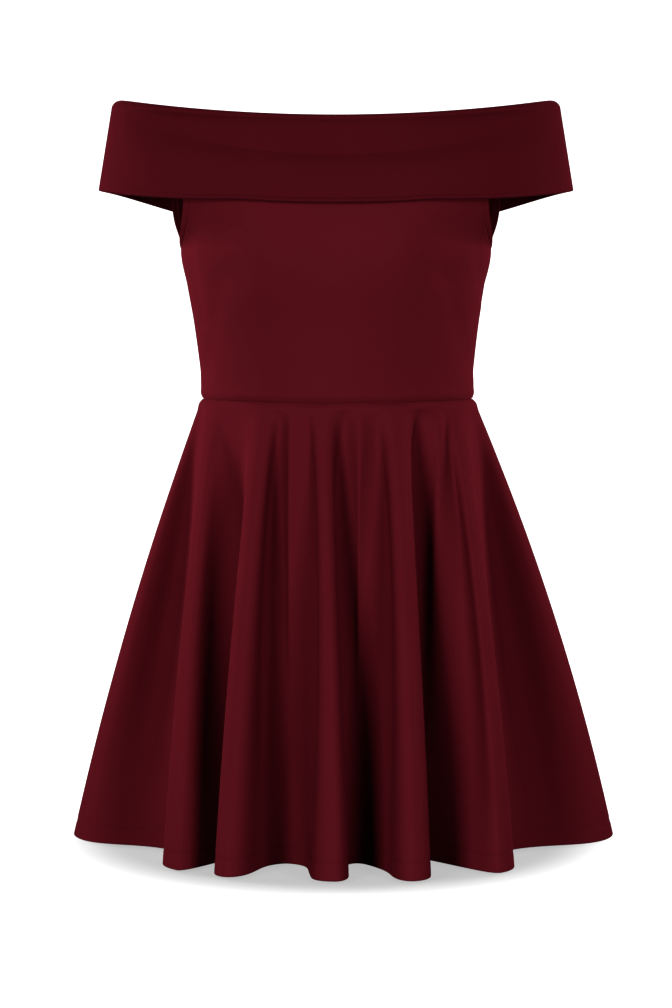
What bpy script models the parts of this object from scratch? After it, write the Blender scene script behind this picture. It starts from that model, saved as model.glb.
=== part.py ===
"""Fit and flare dress with a fold-over band round the arms, hollow, in the form it has when worn.

Metres, +Z up, the front towards -Y and the wearer's left towards +X. The origin is on the centre
line of the body, at the height where the band grips the upper arms.
Every cloth piece is a wall: its face is a function of two numbers, worked out on a grid, and its
back lies one wall thickness behind the face.
"""

import math
from collections import namedtuple

import bpy
import numpy as np

MM = 0.001
FRONT, BACK = -1, 1
MIDDLE_ANGLE = {FRONT: 1.5 * math.pi, BACK: 0.5 * math.pi}

# Cloth and seams
WALL = 1.6 * MM
SEAM_GAP = 0.3 * MM
CLOTH_COLOUR = (0.085, 0.0055, 0.0105, 1.0)
CLOTH_ROUGHNESS = 0.75

# Heights of the seams and edges, measured from the origin
BAND_TOP = 51 * MM
BAND_TIP = -34 * MM
UNDERARM = -90 * MM
WAIST = -231 * MM
WAIST_DIP = 1.5 * MM
WAIST_CENTRE = 1.5 * MM
HEM = -644 * MM

# The band is an outer flap, a soft roll along its top, and an inner layer down to a hidden seam.
# Each is a squared ellipse seen from above, front and back halves having their own depths.
BAND_SQUARENESS = 2.3
FLAP_HALF_WIDTH = 225 * MM
FLAP_DEPTH = {FRONT: 128 * MM, BACK: 119 * MM}
ROLL_HALF_WIDTH = 204 * MM
ROLL_DEPTH = {FRONT: 106 * MM, BACK: 101 * MM}
ROLL_RADIUS_MIDDLE = 5 * MM
ROLL_RADIUS_ARM = 9 * MM
SEAM_HALF_WIDTH = 214 * MM
SEAM_DEPTH = {FRONT: 117 * MM, BACK: 110 * MM}
SEAM_RISE = 28 * MM

# How far the band's edges dip between the arms: depth * (1 - share ** inner) ** outer, where share
# runs from 0 in the middle to 1 at the arm
Dip = namedtuple("Dip", "depth inner outer")
TOP_DIP = {FRONT: Dip(21.5 * MM, 2, 0.8), BACK: Dip(26 * MM, 2, 0.8)}
LOW_DIP = {FRONT: Dip(18 * MM, 2, 0.6), BACK: Dip(33 * MM, 3, 1.6)}

# The bodice in millimetres, a row for each level. A half width runs to the panel's own edge, which
# is the side seam up to the underarm and the armhole above it.
Level = namedtuple("Level", "name height front_half back_half front_depth back_depth squareness")
LEVELS = [
    Level("waist seam", -231, 129, 129, 98, 92, 2.1),
    Level("above waist", -205, 130, 130, 101, 92, 2.1),
    Level("ribs", -160, 135, 135, 109, 94, 2.15),
    Level("under bust", -125, 141, 141, 117, 97, 2.2),
    Level("underarm", -90, 147, 147, 122, 101, 2.3),
    Level("chest", -60, 141, 158, 121.5, 106, 2.3),
    Level("band seam", -19, 138, 163, 117, 110, 2.3),
]
BUST_OUT = 7 * MM
BUST_APART = 170 * MM
BUST_HEIGHT = -96 * MM
BUST_SPREAD = 40 * MM

# The skirt's folds, a row for each crest and valley, from the wearer's left side round the back to
# the right side and then across the front. Angles are in degrees round the waist seam and round
# the hem, and reach is the hem's distance in millimetres from its own centre. Curl says how far
# the cloth turns under itself on its way to the next row, and spring how soon below the waist the
# cloth swings out to its reach.
Fold = namedtuple("Fold", "name waist_deg hem_deg reach curl spring")
FOLDS = [
    Fold("left side crest", 0, 0, 259, 0.3, 0.34),
    Fold("back valley 1", 16, 30, 180, 0.9, 0.2),
    Fold("back crest 1", 33, 47, 224, 1.0, 0.4),
    Fold("back valley 2", 48, 58, 158, 1.0, 0.1),
    Fold("back crest 2", 64, 71, 214, 0.9, 0.4),
    Fold("back valley 3", 79, 84, 150, 0.9, 0.1),
    Fold("back crest 3", 94, 95, 211, 1.0, 0.4),
    Fold("back valley 4", 109, 106, 152, 0.8, 0.1),
    Fold("back crest 4", 124, 118, 217, 1.0, 0.4),
    Fold("back valley 5", 138, 131, 155, 0.9, 0.1),
    Fold("back crest 5", 152, 142, 222, 0.9, 0.4),
    Fold("back valley 6", 167, 154, 176, 0.4, 0.2),
    Fold("right side crest", 180, 180, 253, 0.3, 0.27),
    Fold("front valley 1", 190, 210, 174, 0.8, 0.2),
    Fold("front crest 1", 203, 228.5, 219, 1.3, 0.35),
    Fold("front valley 2", 225, 232, 142, 1.1, 0.1),
    Fold("front crest 2", 239, 241.5, 217, 0.8, 0.4),
    Fold("front valley 3", 251, 251.5, 145, 0.9, 0.15),
    Fold("front crest 3", 263, 268.5, 210, 1.2, 0.4),
    Fold("front valley 4", 277, 276, 137, 0.6, 0.1),
    Fold("front crest 4", 293, 287.5, 218, 1.0, 0.4),
    Fold("front valley 5", 308, 300, 135, 0.5, 0.1),
    Fold("front crest 5", 327, 309.5, 225, 0.3, 0.4),
    Fold("front valley 6", 345, 329, 174, 0.3, 0.2),
    Fold("left side crest again", 360, 360, 259, 0.3, 0.34),
]
RIGHT_SIDE_ROW = 12
HEM_CENTRE = 4 * MM

# How finely each face is cut into facets
BODICE_COLUMNS = 26
BODICE_ROWS_TO_UNDERARM = 6
BODICE_ROWS_TO_BAND = 6
BAND_COLUMNS = 30
FLAP_ROWS = 4
ROLL_ROWS = 6
INNER_LAYER_ROWS = 3
SKIRT_STEPS_A_FOLD = 6
SKIRT_ROWS = 8
NUDGE = 1e-4
SHARP_ANGLE = math.radians(50)


def signed_power(value, power):
    """The value raised to a power, keeping its own sign."""
    return np.sign(value) * np.abs(value) ** power


def points(x, y, z):
    """Coordinates side by side, as an array of points."""
    return np.stack(np.broadcast_arrays(x, y, z), axis=-1)


def through(places, values, at):
    """A smooth curve through a table's column: cubic stretches that share their slopes."""
    places = np.array(places, float)
    values = np.array(values, float)
    slopes = np.gradient(values, places)
    i = np.clip(np.searchsorted(places, at) - 1, 0, len(places) - 2)
    width = places[i + 1] - places[i]
    rise = values[i + 1] - values[i]
    s = (at - places[i]) / width
    bend = (1 - s) * (width * slopes[i] - rise) + s * (rise - width * slopes[i + 1])
    return values[i] + s * rise + s * (1 - s) * bend


def dip(share, edge):
    """How far an edge of the band has dipped at this share of the way out to the arm."""
    return edge.depth * np.clip(1 - np.abs(share) ** edge.inner, 0, 1) ** edge.outer


def seam_height(share, facing):
    """The height of the seam between the band's inner layer and the bodice."""
    return BAND_TIP - dip(share, LOW_DIP[facing]) + SEAM_RISE


def waist_sag(share):
    """How far the waist seam sags at this share of the way from the middle to the side."""
    return WAIST_DIP * (1 - share**2)


def bodice_face(facing):
    """One bodice panel. Across runs from -1 to 1 between its side edges. Up is 0 at the waist, 1 at
    the underarm and 2 at the seam under the band."""
    halves = [level.front_half if facing == FRONT else level.back_half for level in LEVELS]
    depths = [level.front_depth if facing == FRONT else level.back_depth for level in LEVELS]
    heights = [level.height for level in LEVELS]
    squarenesses = [level.squareness for level in LEVELS]
    edge_share = halves[-1] * MM / SEAM_HALF_WIDTH
    edge_forward = (1 - edge_share**BAND_SQUARENESS) ** (1 / BAND_SQUARENESS)
    bottom = WAIST + SEAM_GAP / 2
    top = seam_height(edge_share, facing) - SEAM_GAP / 2

    def face(across, up):
        to_underarm = np.clip(up, 0, 1)
        to_band = np.clip(up - 1, 0, 1)
        height = bottom + (UNDERARM - bottom) * to_underarm + (top - UNDERARM) * to_band
        half = through(heights, halves, height / MM) * MM
        depth = through(heights, depths, height / MM) * MM
        power = through(heights, squarenesses, height / MM)

        # The armhole leaves the side seam as a quarter of an ellipse. Only near that edge does the
        # ring widen at once to meet it. Further in it widens smoothly up to the band's ring.
        forward = edge_forward * np.sqrt(1 - (1 - to_band) ** 2)
        edge_angle = np.arccos(forward ** (power / 2))
        ring_at_edge = half / np.sin(edge_angle) ** (2 / power)
        widening = to_band**2 * (3 - 2 * to_band)
        ring_inside = half + SEAM_HALF_WIDTH * (1 - edge_share) * widening
        ring_half = ring_inside + (ring_at_edge - ring_inside) * across**14
        x = -facing * ring_half * signed_power(np.sin(across * edge_angle), 2 / power)
        y = facing * depth * signed_power(np.cos(across * edge_angle), 2 / power)

        seam_sag = seam_height(x / SEAM_HALF_WIDTH, facing) - seam_height(edge_share, facing)
        z = height + seam_sag * to_band**2 - waist_sag(x / half) * (1 - to_underarm) ** 2
        x = x + WAIST_CENTRE * (1 - to_underarm) ** 2
        if facing == FRONT:
            away = (np.abs(x) - BUST_APART / 2) ** 2 + (z - BUST_HEIGHT) ** 2
            sideways = np.arcsin(np.clip(np.abs(x / ring_half), 0, 1) ** (power / 2)) * 2 / math.pi
            inside_edges = (1 - sideways**2) ** 1.5
            y = y - BUST_OUT * np.exp(-away / (2 * BUST_SPREAD**2)) * inside_edges
        return points(x, y + facing * SEAM_GAP / 2, z)

    return face


def band_face(facing):
    """One half of the band. Across runs from -1 to 1 between the seams on the arms. Along is 0 at
    the flap's free edge, 1 where the roll starts, 2 where it ends and 3 at the hidden seam."""
    power = BAND_SQUARENESS
    depth = ROLL_DEPTH[facing]

    def face(across, along):
        angle = MIDDLE_ANGLE[facing] + across * math.pi / 2
        wide = signed_power(np.cos(angle), 2 / power)
        deep = signed_power(np.sin(angle), 2 / power)
        out = points(
            signed_power(wide, power - 1) / ROLL_HALF_WIDTH,
            signed_power(deep, power - 1) / depth,
            0,
        )
        out = out / np.linalg.norm(out, axis=-1, keepdims=True)
        up = np.array([0, 0, 1])

        radius = ROLL_RADIUS_MIDDLE + (ROLL_RADIUS_ARM - ROLL_RADIUS_MIDDLE) * wide**4
        top = BAND_TOP - dip(wide, TOP_DIP[facing])
        centre = points(ROLL_HALF_WIDTH * wide, depth * deep, top - radius)
        low_edge = points(
            FLAP_HALF_WIDTH * wide,
            FLAP_DEPTH[facing] * deep,
            BAND_TIP - dip(wide, LOW_DIP[facing]),
        )
        seam = points(
            (SEAM_HALF_WIDTH - WALL) * wide,
            (SEAM_DEPTH[facing] - WALL) * deep,
            seam_height(wide, facing) + SEAM_GAP / 2,
        )

        radius = radius[..., None]
        on_flap = np.clip(along, 0, 1)[..., None]
        turn = np.clip(along - 1, 0, 1)[..., None] * math.pi
        on_inner = np.clip(along - 2, 0, 1)[..., None]
        flap = low_edge + (centre + radius * out - low_edge) * on_flap
        roll = centre + radius * (np.cos(turn) * out + np.sin(turn) * up)
        inner = roll + (seam - roll) * on_inner
        found = np.where(along[..., None] < 1, flap, inner)
        return found + np.array([0, facing * SEAM_GAP / 2, 0])

    return face


def skirt_face(facing):
    """One skirt panel. Turn counts along the rows of the fold table. Up is 0 at the hem and 1 at
    the waist seam."""
    waist = LEVELS[0]
    waist_depth = (waist.front_depth if facing == FRONT else waist.back_depth) * MM
    columns = np.array([fold[1:] for fold in FOLDS], float).T
    waist_deg, hem_deg, reach, curl, spring = columns

    def face(turn, up):
        row = np.clip(np.floor(turn).astype(int), 0, len(FOLDS) - 2)
        part = turn - row
        swing = part + curl[row] * np.sin(2 * math.pi * part) / (2 * math.pi)
        hem_angle = np.radians(hem_deg[row] + (hem_deg[row + 1] - hem_deg[row]) * swing)
        ease = (1 - np.cos(math.pi * part)) / 2
        distance = reach[row] + (reach[row + 1] - reach[row]) * ease
        early = spring[row] + (spring[row + 1] - spring[row]) * ease
        waist_angle = np.radians(waist_deg[row] + (waist_deg[row + 1] - waist_deg[row]) * part)

        waist_x = waist.front_half * MM * signed_power(np.cos(waist_angle), 2 / waist.squareness)
        waist_y = waist_depth * signed_power(np.sin(waist_angle), 2 / waist.squareness)
        hem_x = HEM_CENTRE + distance * MM * np.cos(hem_angle)
        hem_y = distance * MM * np.sin(hem_angle)

        down = 1 - up
        spread = down + early * down * (1 - down)
        x = WAIST_CENTRE + waist_x + (hem_x - WAIST_CENTRE - waist_x) * spread
        y = waist_y + (hem_y - waist_y) * spread
        top = WAIST - SEAM_GAP / 2 - waist_sag(waist_x / (waist.front_half * MM))
        z = HEM + (top - HEM) * up
        return points(x, y + facing * SEAM_GAP / 2, z)

    return face


def cloth_material(name):
    """Dull burgundy jersey."""
    material = bpy.data.materials.new(name)
    material.use_nodes = True
    shader = material.node_tree.nodes["Principled BSDF"]
    shader.inputs["Base Color"].default_value = CLOTH_COLOUR
    shader.inputs["Roughness"].default_value = CLOTH_ROUGHNESS
    shader.inputs["Metallic"].default_value = 0.0
    return material


def add_cloth(name, face, across, along, parent):
    """A closed piece of cloth: the face on a grid, its back one wall behind it, and the strip round
    the rim that joins them. The face looks out where across times along points out of the body."""
    u, v = np.meshgrid(across, along, indexing="ij")
    outside = face(u, v)
    over = face(u + NUDGE, v) - face(u - NUDGE, v)
    upward = face(u, v + NUDGE) - face(u, v - NUDGE)
    normal = np.cross(over, upward)
    # The upper and lower edges are cut level
    normal[:, [0, -1], 2] = 0
    normal = normal / np.linalg.norm(normal, axis=-1, keepdims=True)
    inside = outside - WALL * normal
    vertices = np.concatenate([outside.reshape(-1, 3), inside.reshape(-1, 3)])

    index = np.arange(u.size).reshape(u.shape)
    a, b, c, d = index[:-1, :-1], index[1:, :-1], index[1:, 1:], index[:-1, 1:]
    faces = np.stack([a, b, c, d], axis=-1).reshape(-1, 4)
    rim = np.concatenate([index[:-1, 0], index[-1, :-1], index[:0:-1, -1], index[0, :0:-1]])
    following = np.roll(rim, -1)
    strip = np.stack([following, rim, rim + u.size, following + u.size], axis=-1)
    every_face = np.concatenate([faces, faces[:, ::-1] + u.size, strip])

    mesh = bpy.data.meshes.new(name)
    mesh.from_pydata(vertices.tolist(), [], every_face.tolist())
    mesh.shade_smooth()
    mesh.set_sharp_from_angle(angle=SHARP_ANGLE)
    mesh.materials.append(cloth_material(name + "_jersey"))
    piece = bpy.data.objects.new(name, mesh)
    bpy.context.scene.collection.objects.link(piece)
    piece.parent = parent
    return piece


def add_bodice(parent):
    across = np.linspace(-1, 1, BODICE_COLUMNS + 1)
    to_underarm = np.linspace(0, 1, BODICE_ROWS_TO_UNDERARM + 1)
    # Even steps round the armhole's quarter ellipse
    to_band = 2 - np.cos(np.linspace(0, math.pi / 2, BODICE_ROWS_TO_BAND + 1))[1:]
    up = np.concatenate([to_underarm, to_band])
    add_cloth("bodice_front", bodice_face(FRONT), across, up, parent)
    add_cloth("bodice_back", bodice_face(BACK), across, up, parent)


def add_band(parent):
    across = np.linspace(-1, 1, BAND_COLUMNS + 1)
    flap = np.linspace(0, 1, FLAP_ROWS + 1)
    roll = np.linspace(1, 2, ROLL_ROWS + 1)[1:]
    inner = np.linspace(2, 3, INNER_LAYER_ROWS + 1)[1:]
    along = np.concatenate([flap, roll, inner])
    add_cloth("neck_band_front", band_face(FRONT), across, along, parent)
    add_cloth("neck_band_back", band_face(BACK), across, along, parent)


def add_skirt(parent):
    up = np.linspace(0, 1, SKIRT_ROWS + 1)
    back_turns = np.linspace(0, RIGHT_SIDE_ROW, RIGHT_SIDE_ROW * SKIRT_STEPS_A_FOLD + 1)
    front_turns = back_turns + RIGHT_SIDE_ROW
    add_cloth("skirt_back", skirt_face(BACK), back_turns, up, parent)
    add_cloth("skirt_front", skirt_face(FRONT), front_turns, up, parent)


def main():
    for thing in list(bpy.data.objects):
        bpy.data.objects.remove(thing)
    hold = bpy.data.objects.new("shoulder_hold", None)
    bpy.context.scene.collection.objects.link(hold)
    add_bodice(hold)
    add_band(hold)
    add_skirt(hold)


main()
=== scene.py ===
# %% [markdown]
# A fit and flare dress in burgundy jersey, modelled as it is sewn
#
# The dress has three parts, each cut as a front and a back: a close bodice, a skirt that falls in
# deep folds from the waist seam, and a band that goes round the upper arms and folds over on
# itself. Nobody is inside it, but it keeps the form that it has when it is worn.
#
# The plain solids of the six pieces are loaded first. They give every piece its place and its size,
# and each is then replaced by a finer sheet of cloth on the same lines.

import math
from collections import namedtuple

import bpy
import numpy as np
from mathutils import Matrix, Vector


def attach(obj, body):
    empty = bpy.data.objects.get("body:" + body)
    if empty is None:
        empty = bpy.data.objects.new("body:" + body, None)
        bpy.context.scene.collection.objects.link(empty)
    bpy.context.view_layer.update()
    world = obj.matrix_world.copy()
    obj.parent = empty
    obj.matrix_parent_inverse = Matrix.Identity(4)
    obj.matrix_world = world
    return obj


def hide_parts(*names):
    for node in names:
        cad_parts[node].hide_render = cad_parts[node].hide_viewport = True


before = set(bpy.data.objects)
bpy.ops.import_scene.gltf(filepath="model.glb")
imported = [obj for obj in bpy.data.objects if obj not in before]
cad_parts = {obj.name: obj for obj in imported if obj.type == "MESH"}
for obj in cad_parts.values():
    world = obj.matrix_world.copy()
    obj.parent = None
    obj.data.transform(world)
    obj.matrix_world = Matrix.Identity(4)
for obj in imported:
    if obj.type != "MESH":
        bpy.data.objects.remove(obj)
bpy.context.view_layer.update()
print("solids loaded:", len(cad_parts))

# %% [markdown]
# Sizes
#
# Everything is in metres with Z up, and the front of the dress looks towards -Y. The origin is on
# the body's centre line, at the height where the band grips the arms. Naming each size once keeps
# the seams of neighbouring pieces on the same line.

# %% Sizes of the dress
MM = 0.001
FRONT, BACK = -1, 1
MIDDLE_ANGLE = {FRONT: 1.5 * math.pi, BACK: 0.5 * math.pi}

SEAM_GAP = 0.3 * MM
BAND_TOP = 51 * MM
BAND_TIP = -34 * MM
UNDERARM = -90 * MM
WAIST = -231 * MM
WAIST_DIP = 1.5 * MM
WAIST_CENTRE = 1.5 * MM
HEM = -644 * MM

BAND_SQUARENESS = 2.3
FLAP_HALF_WIDTH = 225 * MM
FLAP_DEPTH = {FRONT: 128 * MM, BACK: 119 * MM}
ROLL_HALF_WIDTH = 204 * MM
ROLL_DEPTH = {FRONT: 106 * MM, BACK: 101 * MM}
ROLL_RADIUS_MIDDLE = 5 * MM
ROLL_RADIUS_ARM = 9 * MM
SEAM_HALF_WIDTH = 214 * MM
SEAM_DEPTH = {FRONT: 117 * MM, BACK: 110 * MM}
SEAM_RISE = 28 * MM
SOLID_WALL = 1.6 * MM

Dip = namedtuple("Dip", "depth inner outer")
TOP_DIP = {FRONT: Dip(21.5 * MM, 2, 0.8), BACK: Dip(26 * MM, 2, 0.8)}
LOW_DIP = {FRONT: Dip(18 * MM, 2, 0.6), BACK: Dip(33 * MM, 3, 1.6)}
EDGE_LIFT = {FRONT: 1.4 * MM, BACK: 0.84 * MM}
EDGE_LIFT_APART = 88 * MM
EDGE_LIFT_WIDTH = 30 * MM

# A row for each level of the bodice, in millimetres
Level = namedtuple("Level", "name height front_half back_half front_depth back_depth squareness")
LEVELS = [
    Level("waist seam", -231, 129, 129, 98, 92, 2.1),
    Level("above waist", -205, 130, 130, 101, 92, 2.1),
    Level("ribs", -160, 135, 135, 109, 94, 2.15),
    Level("under bust", -125, 141, 141, 117, 97, 2.2),
    Level("underarm", -90, 147, 147, 122, 101, 2.3),
    Level("chest", -60, 141, 158, 121.5, 106, 2.3),
    Level("band seam", -19, 138, 163, 117, 110, 2.3),
]
BUST_OUT = 7 * MM
BUST_APART = 170 * MM
BUST_HEIGHT = -96 * MM
BUST_SPREAD = 40 * MM
print("dress length:", round((BAND_TOP - HEM) * 1000), "mm")

# %% The skirt's folds, crest by crest round the body
# Angles are in degrees round the waist seam and round the hem, and reach is the hem's distance in
# millimetres from its centre. Curl is how far the cloth turns under itself on its way to the next
# row, and spring how soon below the waist it swings out.
Fold = namedtuple("Fold", "name waist_deg hem_deg reach curl spring")
FOLDS = [
    Fold("left side crest", 0, 0, 259, 0.3, 0.34),
    Fold("back valley 1", 16, 30, 180, 0.9, 0.2),
    Fold("back crest 1", 33, 47, 224, 1.0, 0.4),
    Fold("back valley 2", 48, 58, 158, 1.0, 0.1),
    Fold("back crest 2", 64, 71, 214, 0.9, 0.4),
    Fold("back valley 3", 79, 84, 150, 0.9, 0.1),
    Fold("back crest 3", 94, 95, 211, 1.0, 0.4),
    Fold("back valley 4", 109, 106, 152, 0.8, 0.1),
    Fold("back crest 4", 124, 118, 217, 1.0, 0.4),
    Fold("back valley 5", 138, 131, 155, 0.9, 0.1),
    Fold("back crest 5", 152, 142, 222, 0.9, 0.4),
    Fold("back valley 6", 167, 154, 176, 0.4, 0.2),
    Fold("right side crest", 180, 180, 253, 0.3, 0.27),
    Fold("front valley 1", 190, 210, 174, 0.8, 0.2),
    Fold("front crest 1", 203, 228.5, 219, 1.3, 0.35),
    Fold("front valley 2", 225, 232, 142, 1.1, 0.1),
    Fold("front crest 2", 239, 241.5, 217, 0.8, 0.4),
    Fold("front valley 3", 251, 251.5, 145, 0.9, 0.15),
    Fold("front crest 3", 263, 268.5, 210, 1.2, 0.4),
    Fold("front valley 4", 277, 276, 137, 0.6, 0.1),
    Fold("front crest 4", 293, 287.5, 218, 1.0, 0.4),
    Fold("front valley 5", 308, 300, 135, 0.5, 0.1),
    Fold("front crest 5", 327, 309.5, 225, 0.3, 0.4),
    Fold("front valley 6", 345, 329, 174, 0.3, 0.2),
    Fold("left side crest again", 360, 360, 259, 0.3, 0.34),
]
RIGHT_SIDE_ROW = 12
HEM_CENTRE = 4 * MM
print("crests and valleys:", len(FOLDS) - 1)

# %% [markdown]
# The faces of the pieces
#
# A sheet of cloth could be pulled about by hand or dropped in a simulation. Here each face is a
# function of two numbers instead: the first runs across the piece and the second runs up it. The
# function takes whole arrays, so that one call gives the whole grid, and a change to one size
# moves everything that depends on it.

# %% Small curves that the faces share
def signed_power(value, power):
    """The value raised to a power, keeping its own sign."""
    return np.sign(value) * np.abs(value) ** power


def points(x, y, z):
    """Coordinates side by side, as an array of points."""
    return np.stack(np.broadcast_arrays(x, y, z), axis=-1)


def through(places, values, at):
    """A smooth curve through a table's column: cubic stretches that share their slopes."""
    places = np.array(places, float)
    values = np.array(values, float)
    slopes = np.gradient(values, places)
    i = np.clip(np.searchsorted(places, at) - 1, 0, len(places) - 2)
    width = places[i + 1] - places[i]
    rise = values[i + 1] - values[i]
    s = (at - places[i]) / width
    bend = (1 - s) * (width * slopes[i] - rise) + s * (rise - width * slopes[i + 1])
    return values[i] + s * rise + s * (1 - s) * bend


def bell(distance, width):
    """1 at no distance, falling smoothly to 0 either side: e to the minus distance over width,
    squared."""
    return np.exp(-((distance / width) ** 2))


def dip(share, edge):
    """How far an edge of the band has dipped: depth times (1 - share to the inner power), to the
    outer power. Share is 0 in the middle and 1 at the arm."""
    return edge.depth * np.clip(1 - np.abs(share) ** edge.inner, 0, 1) ** edge.outer


def seam_height(share, facing):
    """The height of the hidden seam between the band and the bodice."""
    return BAND_TIP - dip(share, LOW_DIP[facing]) + SEAM_RISE


def edge_rise(x, facing):
    """How far the flap's free edge is lifted where it rides over the bust, a bell either side."""
    return EDGE_LIFT[facing] * bell(np.abs(x) - EDGE_LIFT_APART, EDGE_LIFT_WIDTH)


def waist_sag(share):
    """How far the waist seam sags: most in the middle and nothing at the side."""
    return WAIST_DIP * (1 - share**2)


# %% The bodice's face
def bodice_face(facing):
    """One bodice panel. Across runs from -1 to 1 between its side edges. Up is 0 at the waist, 1 at
    the underarm and 2 at the band. At each height the panel follows a squared ellipse: half width
    times sine, and depth times cosine, each to the power 2 / squareness."""
    halves = [level.front_half if facing == FRONT else level.back_half for level in LEVELS]
    depths = [level.front_depth if facing == FRONT else level.back_depth for level in LEVELS]
    heights = [level.height for level in LEVELS]
    squarenesses = [level.squareness for level in LEVELS]
    edge_share = halves[-1] * MM / SEAM_HALF_WIDTH
    edge_forward = (1 - edge_share**BAND_SQUARENESS) ** (1 / BAND_SQUARENESS)
    bottom = WAIST + SEAM_GAP / 2
    top = seam_height(edge_share, facing) - SEAM_GAP / 2

    def face(across, up):
        to_underarm = np.clip(up, 0, 1)
        to_band = np.clip(up - 1, 0, 1)
        height = bottom + (UNDERARM - bottom) * to_underarm + (top - UNDERARM) * to_band
        half = through(heights, halves, height / MM) * MM
        depth = through(heights, depths, height / MM) * MM
        power = through(heights, squarenesses, height / MM)

        # The armhole leaves the side seam as a quarter of an ellipse. Only near that edge does the
        # ring widen at once to meet it. Further in it widens smoothly up to the band's ring.
        forward = edge_forward * np.sqrt(1 - (1 - to_band) ** 2)
        edge_angle = np.arccos(forward ** (power / 2))
        ring_at_edge = half / np.sin(edge_angle) ** (2 / power)
        widening = to_band**2 * (3 - 2 * to_band)
        ring_inside = half + SEAM_HALF_WIDTH * (1 - edge_share) * widening
        ring_half = ring_inside + (ring_at_edge - ring_inside) * across**14
        x = -facing * ring_half * signed_power(np.sin(across * edge_angle), 2 / power)
        y = facing * depth * signed_power(np.cos(across * edge_angle), 2 / power)

        seam_sag = seam_height(x / SEAM_HALF_WIDTH, facing) - seam_height(edge_share, facing)
        z = height + seam_sag * to_band**2 - waist_sag(x / half) * (1 - to_underarm) ** 2
        x = x + WAIST_CENTRE * (1 - to_underarm) ** 2
        if facing == FRONT:
            away = (np.abs(x) - BUST_APART / 2) ** 2 + (z - BUST_HEIGHT) ** 2
            sideways = np.arcsin(np.clip(np.abs(x / ring_half), 0, 1) ** (power / 2)) * 2 / math.pi
            inside_edges = (1 - sideways**2) ** 1.5
            y = y - BUST_OUT * np.exp(-away / (2 * BUST_SPREAD**2)) * inside_edges
        return points(x, y + facing * SEAM_GAP / 2, z)

    return face


print("middle of the waist in front:", bodice_face(FRONT)(np.zeros(1), np.zeros(1)).round(4))


# %% The band's face
def band_face(facing):
    """One half of the band. Across runs from -1 to 1 between the seams on the arms. Along is 0 at
    the flap's free edge, 1 where the roll starts, 2 where it ends and 3 at the hidden seam. The
    flap and the inner layer are straight from edge to edge, and the roll is half a circle."""
    power = BAND_SQUARENESS
    depth = ROLL_DEPTH[facing]

    def face(across, along):
        angle = MIDDLE_ANGLE[facing] + across * math.pi / 2
        wide = signed_power(np.cos(angle), 2 / power)
        deep = signed_power(np.sin(angle), 2 / power)
        out = points(
            signed_power(wide, power - 1) / ROLL_HALF_WIDTH,
            signed_power(deep, power - 1) / depth,
            0,
        )
        out = out / np.linalg.norm(out, axis=-1, keepdims=True)
        up = np.array([0, 0, 1])

        radius = ROLL_RADIUS_MIDDLE + (ROLL_RADIUS_ARM - ROLL_RADIUS_MIDDLE) * wide**4
        top = BAND_TOP - dip(wide, TOP_DIP[facing])
        centre = points(ROLL_HALF_WIDTH * wide, depth * deep, top - radius)
        low_edge = points(
            FLAP_HALF_WIDTH * wide,
            FLAP_DEPTH[facing] * deep,
            BAND_TIP - dip(wide, LOW_DIP[facing]) + edge_rise(FLAP_HALF_WIDTH * wide, facing),
        )
        seam = points(
            (SEAM_HALF_WIDTH - SOLID_WALL) * wide,
            (SEAM_DEPTH[facing] - SOLID_WALL) * deep,
            seam_height(wide, facing) + SEAM_GAP / 2,
        )

        radius = radius[..., None]
        on_flap = np.clip(along, 0, 1)[..., None]
        turn = np.clip(along - 1, 0, 1)[..., None] * math.pi
        on_inner = np.clip(along - 2, 0, 1)[..., None]
        flap = low_edge + (centre + radius * out - low_edge) * on_flap
        roll = centre + radius * (np.cos(turn) * out + np.sin(turn) * up)
        inner = roll + (seam - roll) * on_inner
        found = np.where(along[..., None] < 1, flap, inner)
        return found + np.array([0, facing * SEAM_GAP / 2, 0])

    return face


print("top of the fold in front:", band_face(FRONT)(np.zeros(1), np.full(1, 1.5)).round(4))


# %% The skirt's face
def skirt_face(facing):
    """One skirt panel. Turn counts along the rows of the fold table, and up is 0 at the hem and 1 at
    the waist. Each thread runs from its place on the waist ellipse to its place on the wavy hem, and
    swings outwards a little sooner than a straight line does where its row springs."""
    waist = LEVELS[0]
    waist_depth = (waist.front_depth if facing == FRONT else waist.back_depth) * MM
    columns = np.array([fold[1:] for fold in FOLDS], float).T
    waist_deg, hem_deg, reach, curl, spring = columns

    def face(turn, up):
        row = np.clip(np.floor(turn).astype(int), 0, len(FOLDS) - 2)
        part = turn - row
        swing = part + curl[row] * np.sin(2 * math.pi * part) / (2 * math.pi)
        hem_angle = np.radians(hem_deg[row] + (hem_deg[row + 1] - hem_deg[row]) * swing)
        ease = (1 - np.cos(math.pi * part)) / 2
        distance = reach[row] + (reach[row + 1] - reach[row]) * ease
        early = spring[row] + (spring[row + 1] - spring[row]) * ease
        waist_angle = np.radians(waist_deg[row] + (waist_deg[row + 1] - waist_deg[row]) * part)

        waist_x = waist.front_half * MM * signed_power(np.cos(waist_angle), 2 / waist.squareness)
        waist_y = waist_depth * signed_power(np.sin(waist_angle), 2 / waist.squareness)
        hem_x = HEM_CENTRE + distance * MM * np.cos(hem_angle)
        hem_y = distance * MM * np.sin(hem_angle)

        down = 1 - up
        spread = down + early * down * (1 - down)
        x = WAIST_CENTRE + waist_x + (hem_x - WAIST_CENTRE - waist_x) * spread
        y = waist_y + (hem_y - waist_y) * spread
        top = WAIST - SEAM_GAP / 2 - waist_sag(waist_x / (waist.front_half * MM))
        z = HEM + (top - HEM) * up
        return points(x, y + facing * SEAM_GAP / 2, z)

    return face


print("hem at the left side:", skirt_face(BACK)(np.zeros(1), np.zeros(1)).round(4))


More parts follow.
